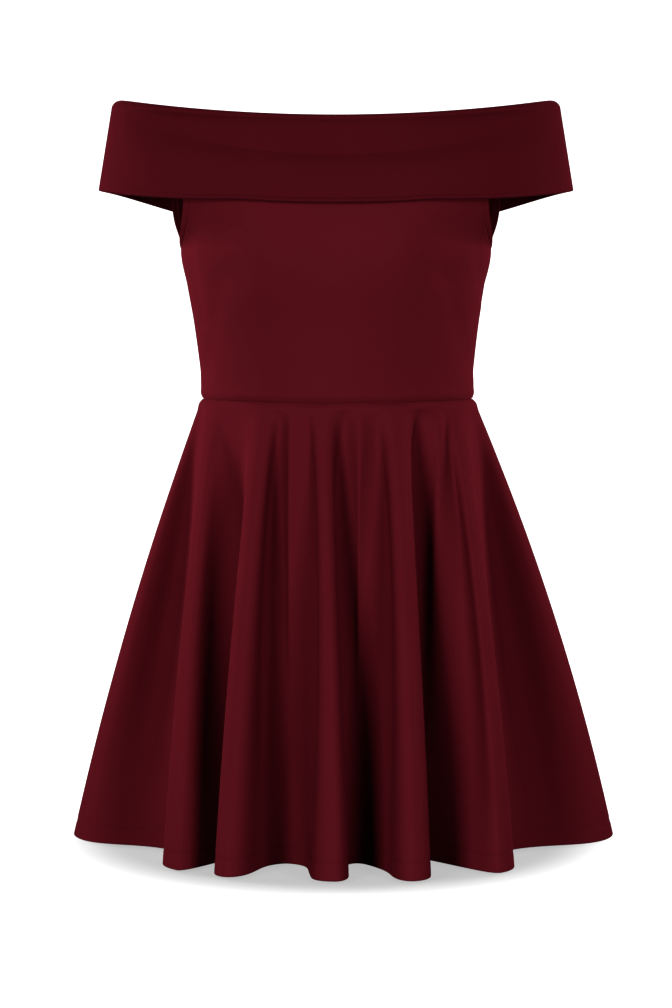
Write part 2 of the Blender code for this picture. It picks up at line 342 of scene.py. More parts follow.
# %% [markdown]
# Relief: what the plain faces leave out
#
# Worn cloth has soft hollows, small folds between the large ones, and a dip along each seam where
# the thread pulls. Each of these is a low hill or hollow that is added along the face's normal, so
# that the outline stays and the light finds something to catch on. Tables hold them, a row each,
# as a maker would note them on the garment.

# %% Lengths along a grid, and the dip at a seam
def run(grid, axis):
    """The length of cloth from the start of each grid line to each of its points."""
    steps = np.linalg.norm(np.diff(grid, axis=axis), axis=-1)
    total = np.cumsum(steps, axis=axis)
    first = np.zeros_like(np.take(total, [0], axis=axis))
    return np.concatenate([first, total], axis=axis)


def from_edges(grid, axis):
    """The length of cloth to the nearer of the two edges that the grid lines run between."""
    length = run(grid, axis)
    total = np.take(length, [-1], axis=axis)
    return np.minimum(length, total - length)


def normals(grid):
    """Unit vectors out of the cloth: the step across times the step along, as a cross product."""
    out = np.cross(np.gradient(grid, axis=0), np.gradient(grid, axis=1))
    return out / np.linalg.norm(out, axis=-1, keepdims=True)


SEAM_DIP = 1.0 * MM
SEAM_DIP_WIDTH = 2.2 * MM
SWELL_AWAY = 6 * MM


def seam_dip(distance):
    """The groove at a seam, deepest on the seam itself."""
    return -SEAM_DIP * bell(distance, SEAM_DIP_WIDTH)


def waist_swell(distance, height, width):
    """A soft swell along the waist seam, where the cloth left over inside pushes outwards."""
    return height * bell(distance - SWELL_AWAY, width)


# %% The bodice's creases and hollows
Crease = namedtuple("Crease", "name from_x from_z to_x to_z depth width")
CREASES = {
    FRONT: [
        Crease("right underarm", -137, -92, -124, -162, 1.4, 6),
        Crease("right waist", -106, -119, -121, -204, 1.2, 8),
        Crease("left waist", 100, -115, 125, -204, 1.2, 8),
        Crease("left underarm", 130, -88, 138, -134, 1.4, 6),
        Crease("right bust hollow", -100, -88, -90, -112, 2.6, 17),
        Crease("left bust hollow", 108, -88, 100, -112, 2.6, 17),
    ],
    BACK: [
        Crease("left shoulder blade", 118, -84, 96, -150, 1.6, 12),
        Crease("right shoulder blade", -116, -80, -99, -146, 1.6, 12),
        Crease("small of the back", -60, -192, 64, -196, 1.5, 13),
        Crease("left waist", 106, -150, 122, -206, 1.1, 8),
        Crease("right waist", -108, -146, -121, -208, 1.1, 8),
    ],
}
ARMHOLE_TURN = 7 * MM
ARMHOLE_GROOVE = 0.4 * MM
ARMHOLE_GROOVE_WIDTH = 1.2 * MM


def crease_depth(grid, crease):
    """How deep a crease is: a bell across the line from its one end to its other, in the plane of
    the panel, fading past both ends."""
    start = np.array([crease.from_x, crease.from_z]) * MM
    line = np.array([crease.to_x, crease.to_z]) * MM - start
    place = grid[..., [0, 2]] - start
    share = np.clip(place @ line / (line @ line), 0, 1)
    gap = np.linalg.norm(place - share[..., None] * line, axis=-1)
    return crease.depth * MM * bell(gap, crease.width * MM)


def bodice_relief(facing, across, up, grid):
    """The creases, and the dips along the waist, the side seams and the armholes."""
    relief = -sum(crease_depth(grid, crease) for crease in CREASES[facing])
    above_waist = run(grid, 1)
    relief = relief + seam_dip(above_waist) + waist_swell(above_waist, 0.5 * MM, 3 * MM)
    to_side = from_edges(grid, 0)

    # Armhole is 0 along the side seam and 1 above the underarm, where up passes 1.
    armhole = np.clip((up - 0.96) / 0.08, 0, 1)
    relief = relief + seam_dip(to_side) * (1 - armhole)
    groove = ARMHOLE_GROOVE * bell(to_side - ARMHOLE_TURN, ARMHOLE_GROOVE_WIDTH)
    return relief - groove * armhole


print("creases in the bodice:", sum(len(table) for table in CREASES.values()))


# %% The band's trough and doubled edge
TROUGH_HEIGHT = {FRONT: 5 * MM, BACK: 1 * MM}
TROUGH_RISE = {FRONT: 15 * MM, BACK: 22 * MM}
TROUGH_REACH = 150 * MM
TROUGH_DEPTH = 9 * MM
TROUGH_WIDTH = 18 * MM
TROUGH_END = 195 * MM
DOUBLE_EDGE = 2.4 * MM
EDGE_GROOVE = 0.6 * MM
EDGE_GROOVE_WIDTH = 1.6 * MM
EDGE_ROLL = 1.1 * MM
EDGE_ROLL_WIDTH = 2.6 * MM


def band_relief(facing, across, along, grid):
    """A soft trough along the flap that rises towards the arms as a parabola, a doubled lower edge,
    and the dips along the arm seams."""
    x, z = grid[..., 0], grid[..., 2]
    on_flap = np.clip((1.05 - along) / 0.1, 0, 1)
    trough = TROUGH_HEIGHT[facing] + TROUGH_RISE[facing] * (x / TROUGH_REACH) ** 2
    fade = np.clip(1 - (np.abs(x) / TROUGH_END) ** 6, 0, 1)
    relief = -TROUGH_DEPTH * bell(z - trough, TROUGH_WIDTH) * on_flap * fade
    above_edge = run(grid, 1)
    groove = EDGE_GROOVE * bell(above_edge - DOUBLE_EDGE * 2.4, EDGE_GROOVE_WIDTH)
    roll = EDGE_ROLL * bell(above_edge - DOUBLE_EDGE * 0.8, EDGE_ROLL_WIDTH)
    relief = relief + (roll - groove) * fade
    return relief + 0.8 * seam_dip(from_edges(grid, 0))


print("trough in the band:", round(TROUGH_DEPTH / MM), "mm deep")


# %% The skirt's smaller folds
# Turn places a small fold among the rows of the fold table. It starts and ends at a share of the
# height, and lean pulls its deepest place up towards the waist.
SmallFold = namedtuple("SmallFold", "name turn height width start end lean")
SMALL_FOLDS = [
    SmallFold("back ridge 1", 3.1, 9, 0.26, 0.98, 0.12, 0.8),
    SmallFold("back ridge 2", 5.2, 12, 0.3, 0.98, 0.08, 0.8),
    SmallFold("back ridge 3", 6.9, 11, 0.26, 0.98, 0.15, 0.8),
    SmallFold("back ridge 4", 9.1, 10, 0.28, 0.98, 0.1, 0.8),
    SmallFold("front hollow 0", 12.55, -20, 0.28, 0.95, -0.08, 1.0),
    SmallFold("front hollow 1", 14.55, -8, 0.3, 0.97, 0.04, 0.8),
    SmallFold("front hollow 2", 16.68, -14, 0.22, 0.98, -0.1, 0.7),
    SmallFold("front ridge 2", 17.05, 8, 0.22, 0.98, 0.2, 0.7),
    SmallFold("front hollow 2b", 17.65, -13, 0.2, 0.98, -0.2, 0.7),
    SmallFold("front hollow 3", 18.66, -13, 0.22, 0.985, -0.1, 0.6),
    SmallFold("front ridge 3", 19.05, 8, 0.22, 0.98, 0.25, 0.6),
    SmallFold("front hollow 3b", 19.5, -13, 0.2, 0.98, -0.2, 0.7),
    SmallFold("front hollow 4", 20.8, -12, 0.24, 0.985, -0.1, 0.6),
    SmallFold("front ridge 4", 21.42, 9, 0.22, 0.98, 0.2, 0.7),
    SmallFold("front hollow 4b", 21.66, -15, 0.22, 0.98, -0.1, 0.7),
    SmallFold("front hollow 5", 23.42, -20, 0.27, 0.95, -0.08, 1.0),
]
HEM_TURN = 15 * MM
HEM_GROOVE = 0.4 * MM
HEM_GROOVE_WIDTH = 1.8 * MM
PUCKER = 0.12 * MM
PUCKER_PITCH = 11 * MM


def small_fold(turn, up, fold):
    """A small ridge or hollow: a bell across it, times an arch that is nothing where it starts
    under the waist, full where it leans to, and nothing again where it ends."""
    share = np.clip((fold.start - up) / (fold.start - fold.end), 0, 1)
    arch = np.sin(math.pi * share**fold.lean)
    return fold.height * MM * bell(turn - fold.turn, fold.width) * arch


def skirt_relief(facing, turn, up, grid):
    """The smaller folds, a dip and then a soft swell under the waist seam, the dips along the side
    seams, and a faint trough where the hem is stitched."""
    relief = sum(small_fold(turn, up, fold) for fold in SMALL_FOLDS)
    above_hem = run(grid, 1)
    below_waist = above_hem[:, [-1]] - above_hem
    relief = relief + seam_dip(below_waist) + waist_swell(below_waist, 0.9 * MM, 4 * MM)
    relief = relief + 0.7 * seam_dip(from_edges(grid, 0))
    round_hem = run(grid, 0)[:, [0]]
    pucker = PUCKER * np.sin(2 * math.pi * round_hem / PUCKER_PITCH)
    return relief + (pucker - HEM_GROOVE) * bell(above_hem - HEM_TURN, HEM_GROOVE_WIDTH)


print("smaller folds in the skirt:", len(SMALL_FOLDS))

# %% [markdown]
# From a face to a sheet of cloth
#
# A sheet has two faces and an edge all round. The back face lies one wall behind the front one, and
# the two are joined by a half-round rim, because a knife-edge of no thickness would catch no light
# along a hem. A modifier could add the thickness, but worked out here it can also grow where the
# cloth is turned up and sewn double.

# %% Build a closed sheet
WALL = 1.1 * MM
RIM_STEPS = 3


def rim_path(index):
    """The grid's outer points in order, once round."""
    return np.concatenate([index[:-1, 0], index[-1, :-1], index[:0:-1, -1], index[0, :0:-1]])


def sheet_mesh(name, grid, wall, flat):
    """A closed sheet from the grid of its face. The back is the face less the wall along the normal.
    The rim is half a circle from face to back. Flat holds each point's place on the cloth before it
    was sewn, in metres, as the UV map."""
    out = normals(grid).reshape(-1, 3)
    face = grid.reshape(-1, 3).copy()
    thick = wall.reshape(-1, 1)
    index = np.arange(len(face)).reshape(grid.shape[:2])
    rim = rim_path(index)
    forward = np.roll(face[rim], -1, axis=0) - np.roll(face[rim], 1, axis=0)
    beyond = np.cross(forward, out[rim])
    beyond = beyond / np.linalg.norm(beyond, axis=-1, keepdims=True)
    face[rim] = face[rim] - thick[rim] / 2 * beyond

    rings = []
    for turn in np.linspace(0, math.pi, RIM_STEPS + 2)[1:-1]:
        swing = math.cos(turn) * out[rim] + math.sin(turn) * beyond
        rings.append(face[rim] + thick[rim] / 2 * (swing - out[rim]))
    vertices = np.concatenate([face, face - thick * out, *rings])

    a, b, c, d = index[:-1, :-1], index[1:, :-1], index[1:, 1:], index[:-1, 1:]
    faces = np.stack([a, b, c, d], axis=-1).reshape(-1, 4)
    edge = [rim]
    for step in range(RIM_STEPS):
        edge.append(2 * len(face) + step * len(rim) + np.arange(len(rim)))
    edge.append(rim + len(face))
    strips = [faces, faces[:, ::-1] + len(face)]
    for near, far in zip(edge[:-1], edge[1:]):
        strips.append(np.stack([np.roll(near, -1), near, far, np.roll(far, -1)], axis=-1))
    quads = np.concatenate(strips)

    mesh = bpy.data.meshes.new(name)
    mesh.from_pydata(vertices.tolist(), [], quads.tolist())
    mesh.shade_smooth()
    place = flat.reshape(-1, 2)
    place = np.concatenate([place, place, *[place[rim]] * RIM_STEPS])
    layer = mesh.uv_layers.new(name="flat_cloth")
    layer.uv.foreach_set("vector", place[quads.ravel()].astype(np.float32).ravel())
    return mesh


# %% Helpers for even and crowded rows
def rows(*stretches):
    """Places along a piece: for each stretch, its start, its end and how many steps it has."""
    found = [np.linspace(start, end, steps + 1)[:-1] for start, end, steps in stretches]
    return np.concatenate([*found, [stretches[-1][1]]])


def with_relief(face, relief, facing, across, along):
    """The grid of a face with its relief added along the normals."""
    u, v = np.meshgrid(across, along, indexing="ij")
    grid = face(u, v)
    return grid + relief(facing, u, v, grid)[..., None] * normals(grid)


def unrolled(grid):
    """A piece that was cut nearly square: its flat place is the length of cloth across it at mid
    height, and the length along each thread."""
    middle = grid.shape[1] // 2
    across = run(grid, 0)[:, [middle]] + 0 * grid[..., 0]
    return np.stack([across - across.max() / 2, run(grid, 1)], axis=-1)


def area_of(grid):
    """The area of a grid's small squares, each half the cross product of its diagonals."""
    one = grid[1:, 1:] - grid[:-1, :-1]
    other = grid[:-1, 1:] - grid[1:, :-1]
    return float(np.linalg.norm(np.cross(one, other), axis=-1).sum() / 2)


def add_piece(mesh, replaced=None):
    """Puts a mesh into the scene as a piece that rides on the dress."""
    piece = bpy.data.objects.new(mesh.name, mesh)
    bpy.context.scene.collection.objects.link(piece)
    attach(piece, "root")
    if replaced:
        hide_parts(replaced)
    return piece


grids, walls, dress = {}, {}, {}


def sew(name, grid, wall, flat):
    """Makes the sheet that replaces a plain solid. Its grid and its wall are kept for the seams."""
    mesh = sheet_mesh(name + "_cloth", grid, wall, flat)
    grids[name] = grid
    walls[name] = wall
    dress[name] = add_piece(mesh, name)
    print(name, round(area_of(grid), 4), "square metres,", len(mesh.polygons), "faces")


# %% [markdown]
# The bodice
#
# The bodice is two panels that meet at the side seams. A real one has no darts here, because the
# jersey stretches over the bust. Its rows crowd together at the waist and its columns at the side
# seams, where the grooves are only a few millimetres wide.

# %% Sew the bodice
BODICE_ACROSS = np.concatenate(
    [rows((-1, -0.94, 12), (-0.94, 0.94, 126)), rows((0.94, 1, 12))[1:]]
)
to_armhole = rows((0, 0.08, 9), (0.08, 1, 40))
even = np.linspace(0, 1, 37)[1:]
past_armhole = 1 + 0.25 * even + 0.75 * (1 - np.cos(even * math.pi / 2))
BODICE_UP = np.concatenate([to_armhole, past_armhole])
for facing, name in ((FRONT, "bodice_front"), (BACK, "bodice_back")):
    grid = with_relief(bodice_face(facing), bodice_relief, facing, BODICE_ACROSS, BODICE_UP)
    sew(name, grid, np.full(grid.shape[:2], WALL), unrolled(grid))

# %% [markdown]
# The fold-over band
#
# One wide strip goes round the arms, front and back, and is folded over outwards. Its roll is along
# the top, its free edge hangs over the bodice, and its inner layer runs down to the hidden seam. It
# is one sheet from the free edge to the seam, so the flap and the roll share one piece of cloth.

# %% Sew the band
BAND_ACROSS = np.concatenate([rows((-1, -0.96, 8), (-0.96, 0.96, 224)), rows((0.96, 1, 8))[1:]])
BAND_ALONG = rows((0, 0.08, 8), (0.08, 1, 32), (1, 2, 18), (2, 3, 22))
EDGE_EXTRA = 0.9
for facing, name in ((FRONT, "neck_band_front"), (BACK, "neck_band_back")):
    grid = with_relief(band_face(facing), band_relief, facing, BAND_ACROSS, BAND_ALONG)
    doubled = np.clip((DOUBLE_EDGE * 1.6 - run(grid, 1)) / (1.2 * MM), 0, 1)
    sew(name, grid, WALL * (1 + EDGE_EXTRA * doubled), unrolled(grid))

# %% [markdown]
# The skirt
#
# Each half of the skirt is cut as a quarter of a ring, so that a short waist edge feeds a long hem,
# and the extra cloth falls in folds. The hem is turned up inside and stitched, which makes the cloth
# thicker there. On the flat cloth a point's place is its distance from the ring's centre, turned
# round by its share of the panel.

# %% Sew the skirt
STEPS_A_FOLD = 27
SKIRT_UP = rows((0, 0.05, 9), (0.05, 0.95, 82), (0.95, 1, 11))
RING_ANGLE = math.radians(90)
HEM_EXTRA = 0.8


def ring_cut(grid):
    """A skirt panel's flat places: the distance from the ring's centre, swept round by the share of
    the waist."""
    slant = run(grid, 1)
    length = slant[:, [-1]] - slant
    waist_run = run(grid, 0)[:, [-1]]
    inner = waist_run[-1, 0] / RING_ANGLE
    angle = (waist_run / waist_run[-1, 0] - 0.5) * RING_ANGLE
    distance = inner + length
    return np.stack([distance * np.sin(angle), -distance * np.cos(angle)], axis=-1)


for facing, name, first in ((BACK, "skirt_back", 0), (FRONT, "skirt_front", RIGHT_SIDE_ROW)):
    turns = first + np.linspace(0, RIGHT_SIDE_ROW, RIGHT_SIDE_ROW * STEPS_A_FOLD + 1)
    grid = with_relief(skirt_face(facing), skirt_relief, facing, turns, SKIRT_UP)
    turned_up = np.clip((HEM_TURN + 1 * MM - run(grid, 1)) / (1.5 * MM), 0, 1)
    sew(name, grid, WALL * (1 + HEM_EXTRA * turned_up), ring_cut(grid))

# %% [markdown]
# Seam allowances
#
# Two panels that only met edge to edge would let daylight through. On a real dress each is cut a few
# millimetres too large, and what is left over lies inside, behind the seam. These strips are laid
# against the inner side of both panels, so that they close every seam and show inside the dress.

# %% Lay the seam allowances
ALLOWANCE = 6 * MM
ALLOWANCE_WALL = 0.9 * MM
BEHIND = 0.15 * MM
STEPS_IN = (0.3 * MM, 1.8 * MM, 3.9 * MM, ALLOWANCE)


def at_run(grid, values, length):
    """Values read on every grid line at one length of cloth from its start."""
    travelled = run(grid, 1)
    row = np.clip((travelled < length).sum(axis=1), 1, grid.shape[1] - 1)
    line = np.arange(grid.shape[0])
    before, after = travelled[line, row - 1], travelled[line, row]
    share = ((length - before) / (after - before))[:, None]
    return values[line, row - 1] * (1 - share) + values[line, row] * share


def inner_side(name):
    """A panel's inner side, a hair's breadth behind the cloth."""
    return grids[name] - (walls[name] + BEHIND)[..., None] * normals(grids[name])


def behind_edge(name, rows_used, last):
    """The inner side of a panel along its first or last edge: a list of lines, each one farther from
    the edge, at the steps that the allowance takes."""
    grid = np.swapaxes(grids[name][:, rows_used], 0, 1)
    inner = np.swapaxes(inner_side(name)[:, rows_used], 0, 1)
    if last:
        grid, inner = grid[:, ::-1], inner[:, ::-1]
    return [at_run(grid, inner, step) for step in STEPS_IN]


def side_allowance(part, rows_used, left):
    """The strip behind a side seam, from one panel's last edge to the next panel's first."""
    ends, starts = (part + "_front", part + "_back") if left else (part + "_back", part + "_front")
    lines = behind_edge(ends, rows_used, True)[::-1] + behind_edge(starts, rows_used, False)
    return np.stack(lines)


def waist_allowance(name):
    """The strip behind half of the waist seam: up along the bodice, and hanging straight down past
    the skirt, which leans away from it."""
    lines = [at_run(grids[name], inner_side(name), step) for step in STEPS_IN]
    drop = [lines[0] - np.array([0, 0, share * ALLOWANCE]) for share in (1, 0.6, 0.25)]
    return np.stack(drop + lines, axis=1)


below_armhole = slice(0, int((BODICE_UP <= 1).sum()) - 1)
strips = {}
for side, left in (("left", True), ("right", False)):
    strips[side + "_bodice_allowance"] = side_allowance("bodice", below_armhole, left)
    strips[side + "_skirt_allowance"] = side_allowance("skirt", slice(None), left)
    strips[side + "_band_allowance"] = side_allowance("neck_band", slice(None), left)
for name in ("bodice_front", "bodice_back"):
    strips[name.replace("bodice", "waist") + "_allowance"] = waist_allowance(name)
for name, grid in strips.items():
    wall = np.full(grid.shape[:2], ALLOWANCE_WALL)
    dress[name] = add_piece(sheet_mesh(name, grid, wall, unrolled(grid)))
print("seam allowances:", len(strips))

# %% [markdown]
# The hem's stitches
#
# The hem is held by one row of small stitches in thread of the same colour. They barely show, but
# they break the light in a fine dotted line. Each is a slim capsule with few faces, because there
# are hundreds of them, and all are laid at once by giving every capsule point its share of the
# stitch's three directions.

# %% Stitch the hem
STITCH_LENGTH = 2.3 * MM
STITCH_PITCH = 3.0 * MM
STITCH_MARGIN = 4 * MM
STITCH_LIFT = 0.08 * MM
STITCH_TILTS = (35, 90, 145)
STITCH_SIDES = 6
STITCH_POINTS = STITCH_SIDES * len(STITCH_TILTS) + 2
THREAD_RADIUS = 0.22 * MM


def stitch_row(name, grid, length):
    """A row of stitches at one length of cloth above the hem. A stitch's surface is the sine of the
    tilt times the thread's radius round its axis, and the cosine times its half length along it."""
    path = at_run(grid, grid, length)
    out = at_run(grid, normals(grid), length)
    travelled = np.concatenate([[0], np.cumsum(np.linalg.norm(np.diff(path, axis=0), axis=1))])
    spots = np.arange(STITCH_MARGIN, travelled[-1] - STITCH_MARGIN, STITCH_PITCH)
    centre = np.stack([np.interp(spots, travelled, path[:, k]) for k in range(3)], axis=-1)
    lift = np.stack([np.interp(spots, travelled, out[:, k]) for k in range(3)], axis=-1)
    lift = lift / np.linalg.norm(lift, axis=-1, keepdims=True)
    ahead = np.gradient(centre, axis=0)
    ahead = ahead / np.linalg.norm(ahead, axis=-1, keepdims=True)
    side = np.cross(lift, ahead)
    centre = centre + STITCH_LIFT * lift

    tilt = np.repeat(np.radians(STITCH_TILTS), STITCH_SIDES)
    round_it = np.tile(np.radians(np.arange(0, 360, 360 // STITCH_SIDES)), len(STITCH_TILTS))
    along = np.concatenate([np.cos(tilt), [1, -1]]) * STITCH_LENGTH / 2
    up = np.concatenate([np.sin(tilt) * np.cos(round_it), [0, 0]]) * THREAD_RADIUS
    over = np.concatenate([np.sin(tilt) * np.sin(round_it), [0, 0]]) * THREAD_RADIUS
    vertices = (
        centre[:, None]
        + along[None, :, None] * ahead[:, None]
        + up[None, :, None] * lift[:, None]
        + over[None, :, None] * side[:, None]
    )

    ring = np.arange(STITCH_SIDES)
    following = (ring + 1) % STITCH_SIDES
    last_ring = STITCH_SIDES * (len(STITCH_TILTS) - 1)
    tips = np.full(STITCH_SIDES, STITCH_POINTS - 2)
    belt = np.stack([ring, ring + STITCH_SIDES, following + STITCH_SIDES, following], axis=-1)
    quads = np.concatenate([belt, belt + STITCH_SIDES])
    near_end = np.stack([following, tips, ring], axis=-1)
    far_end = np.stack([ring + last_ring, tips + 1, following + last_ring], axis=-1)
    ends = np.concatenate([near_end, far_end])
    offsets = (np.arange(len(spots)) * STITCH_POINTS)[:, None, None]
    faces = (quads + offsets).reshape(-1, 4).tolist() + (ends + offsets).reshape(-1, 3).tolist()
    mesh = bpy.data.meshes.new(name)
    mesh.from_pydata(vertices.reshape(-1, 3).tolist(), [], faces)
    mesh.shade_smooth()
    print(name, len(spots), "stitches")
    return mesh


for name in ("skirt_back", "skirt_front"):
    mesh = stitch_row(name + "_hem_stitches", grids[name], HEM_TURN)
    dress[name + "_stitches"] = add_piece(mesh)

# %% [markdown]
# Writing shader sums as Python
#
# A material is a tree of nodes, and a sum in it takes a node for each sign. This small class wraps
# one socket, so that a sum on it can be written as Python and adds its own Math nodes.

# %% A socket that can be added and multiplied
class Socket:
    """One output of a node tree, with signs that add Math nodes."""

    def __init__(self, tree, output=None):
        self.tree = tree
        self.output = output

    def node(self, kind, settings=None, values=None, output=0):
        """Adds a node: its settings first, then the values or links of its sockets."""
        made = self.tree.nodes.new(kind)
        for name, value in (settings or {}).items():
            setattr(made, name, value)
        for name, value in (values or {}).items():
            if isinstance(value, Socket):
                self.tree.links.new(value.output, made.inputs[name])
            else:
                made.inputs[name].default_value = value
        return Socket(self.tree, made.outputs[output])

    def sum(self, operation, first, second=0.0):
        return self.node("ShaderNodeMath", {"operation": operation}, {0: first, 1: second})

    def __add__(self, other):
        return self.sum("ADD", self, other)

    def __radd__(self, other):
        return self.sum("ADD", other, self)

    def __sub__(self, other):
        return self.sum("SUBTRACT", self, other)

    def __mul__(self, other):
        return self.sum("MULTIPLY", self, other)

    def sine(self):
        return self.sum("SINE", self)


def new_material(name):
    """A material with its shader, and a socket to start its sums from."""
    material = bpy.data.materials.new(name)
    material.use_nodes = True
    shader = material.node_tree.nodes["Principled BSDF"]
    return material, shader, Socket(material.node_tree)


# %% [markdown]
# Burgundy crepe jersey
#
# The cloth is a smooth, dense jersey with a dull, slightly peachy surface. Its fibres stand up a
# little and catch light at a glancing angle, which is what sheen is for. The knit runs in fine
# columns that follow the flat cloth, so they are drawn on the UV map, in metres. The colour hardly
# varies: soft clouds, and a fine grain where the crepe yarn twists. The band gets a copy of the
# jersey with its colour darkened: painted shade, for the band taking less light than the bodice.

# %% The cloth's material
CLOTH_COLOUR = (0.093, 0.0120, 0.0180, 1.0)
CLOTH_DEEP = (0.081, 0.0100, 0.0155, 1.0)
SHEEN_TINT = (1.0, 0.20, 0.32, 1.0)
WALE = 0.85 * MM
COURSE = 0.65 * MM
# How much of the jersey's colour the band keeps: painted shade over the whole band.
BAND_PAINTED_SHADE = 0.76


def deeper(colour, depth):
    """The colour with each of its three parts multiplied by the depth."""
    return tuple(part * depth for part in colour[:3]) + (1.0,)


def jersey_material(name, depth):
    """The jersey. Depth is how much of its colour is left; below 1 that darkening is painted shade.
    """
    material, shader, start = new_material(name)
    place = start.node("ShaderNodeTexCoord", output="Object")
    flat = start.node("ShaderNodeTexCoord", output="UV")
    clouds = start.node("ShaderNodeTexNoise", values={"Vector": place, "Scale": 18, "Detail": 3})
    grain = start.node("ShaderNodeTexNoise", values={"Vector": place, "Scale": 900, "Detail": 2})
    shade = clouds * 0.6 + grain * 0.7 - 0.15
    colour = start.node(
        "ShaderNodeMix",
        {"data_type": "RGBA", "clamp_factor": True},
        {0: shade, 6: deeper(CLOTH_DEEP, depth), 7: deeper(CLOTH_COLOUR, depth)},
        output=2,
    )
    material.node_tree.links.new(colour.output, shader.inputs["Base Color"])

    parts = start.node("ShaderNodeSeparateXYZ", values={0: flat})
    split = parts.output.node
    across = Socket(material.node_tree, split.outputs["X"])
    up = Socket(material.node_tree, split.outputs["Y"])
    wales = (across * (2 * math.pi / WALE)).sine()
    courses = (up * (2 * math.pi / COURSE)).sine()
    height = wales * 0.35 + wales * courses * 0.2 + grain * 1.2
    bump = start.node(
        "ShaderNodeBump", values={"Height": height, "Strength": 0.35, "Distance": 0.12 * MM}
    )
    material.node_tree.links.new(bump.output, shader.inputs["Normal"])
    rough = 0.6 + grain * 0.1 - clouds * 0.06
    material.node_tree.links.new(rough.output, shader.inputs["Roughness"])
    shader.inputs["Specular IOR Level"].default_value = 0.0
    shader.inputs["Sheen Weight"].default_value = 0.09
    shader.inputs["Sheen Roughness"].default_value = 0.3
    shader.inputs["Sheen Tint"].default_value = SHEEN_TINT
    return material


jersey = jersey_material("burgundy_jersey", 1.0)
# The band's copy of the jersey, darkened as painted shade.
band_jersey_painted_shade = jersey_material("burgundy_jersey_painted_shade", BAND_PAINTED_SHADE)
print("jersey nodes:", len(jersey.node_tree.nodes))

# %% The thread's material
THREAD_COLOUR = (0.07, 0.007, 0.012, 1.0)
THREAD_DEEP = (0.045, 0.004, 0.007, 1.0)


def thread_material():
    """Polyester thread, a touch deeper than the cloth, with its twist as a bump."""
    material, shader, start = new_material("burgundy_thread")
    place = start.node("ShaderNodeTexCoord", output="Object")
    twist = start.node("ShaderNodeTexNoise", values={"Vector": place, "Scale": 2500, "Detail": 1})
    colour = start.node(
        "ShaderNodeMix",
        {"data_type": "RGBA"},
        {0: twist, 6: THREAD_DEEP, 7: THREAD_COLOUR},
        output=2,
    )
    material.node_tree.links.new(colour.output, shader.inputs["Base Color"])
    bump = start.node(
        "ShaderNodeBump", values={"Height": twist, "Strength": 0.3, "Distance": 0.1 * MM}
    )
    material.node_tree.links.new(bump.output, shader.inputs["Normal"])
    shader.inputs["Roughness"].default_value = 0.5
    shader.inputs["Specular IOR Level"].default_value = 0.1
    return material


thread = thread_material()
for name, piece in dress.items():
    # The band's pieces get the copy with painted shade.
    cloth = band_jersey_painted_shade if "band" in name else jersey
    piece.data.materials.append(thread if name.endswith("stitches") else cloth)
print("pieces dressed:", len(dress))

# %% [markdown]
# What each sheet was before it was sewn
#
# A garment maker thinks of each piece as flat cloth. Worn, the band is stretched by about 2 per
# cent and the bodice by 4, so their cuts have that much less area. Those areas are worked out
# below, and each sheet's widest and longest lengths of cloth are printed.

BODICE_CUT = {"bodice_front": (0.372, 0.222), "bodice_back": (0.366, 0.214)}
for name in ("neck_band_front", "neck_band_back"):
    area_of(grids[name]) * 0.98
for name, cut in BODICE_CUT.items():
    area_of(grids[name]) * 0.96
for name in ("skirt_front", "skirt_back"):
    area_of(grids[name])
    dress[name + "_stitches"]
for name, grid in grids.items():
    width = run(grid, 0)[-1].max()
    length = run(grid, 1)[:, -1].max()
    print(name, "widest", round(float(width), 3), "longest", round(float(length), 3))

# %% [markdown]
# The studio
#
# The dress stands over a pale floor in soft light: a large lamp in front and to the left, a weaker
# one to the right, a small one at each side for the light edges, one behind for the back and one
# above. The surroundings are white to the camera but light the cloth only a little, or the folds
# would lose their shade. The floor glows white to the camera too, but less so near the hem: the
# dimmer ring there is a painted shadow, and through it the dress's own soft shadow shows as well.

# %% Floor and surroundings
FLOOR_HEIGHT = HEM - 3 * MM
FLOOR_RADIUS = 7.0
FLOOR_GREY = (0.1, 0.1, 0.1, 1)
# The floor's glow near the hem, and the radii over which it rises to full white: a painted shadow.
PAINTED_SHADOW_GLOW = 0.37
PAINTED_SHADOW_FROM = 0.2
PAINTED_SHADOW_TO = 0.31
WHITE = (1, 1, 1, 1)
AIR_LIGHT = 0.02
AIR_SEEN = 1.05


def floor_mesh():
    """A disc: rings of points at even angles, the radius growing with the square of the ring."""
    angle, ring = np.meshgrid(np.linspace(0, 2 * math.pi, 65)[:-1], np.linspace(0.05, 1, 24))
    radius = FLOOR_RADIUS * ring**2
    grid = points(radius * np.cos(angle), radius * np.sin(angle), FLOOR_HEIGHT)
    index = np.arange(angle.size).reshape(angle.shape)
    inner, outer = index[:-1], index[1:]
    faces = np.stack([inner, outer, np.roll(outer, -1, 1), np.roll(inner, -1, 1)], axis=-1)
    mesh = bpy.data.meshes.new("studio_floor")
    all_faces = faces.reshape(-1, 4).tolist() + [index[0].tolist()]
    mesh.from_pydata(grid.reshape(-1, 3).tolist(), [], all_faces)
    return mesh


floor = bpy.data.objects.new("studio_floor", floor_mesh())
bpy.context.scene.collection.objects.link(floor)
paint, floor_shader, start = new_material("white_floor")
seen = start.node("ShaderNodeLightPath", output="Is Camera Ray")
place = start.node("ShaderNodeTexCoord", output="Object")
level = start.node("ShaderNodeVectorMath", {"operation": "MULTIPLY"}, {0: place, 1: (1, 1, 0)})
away = start.node("ShaderNodeVectorMath", {"operation": "LENGTH"}, {0: level}, output="Value")
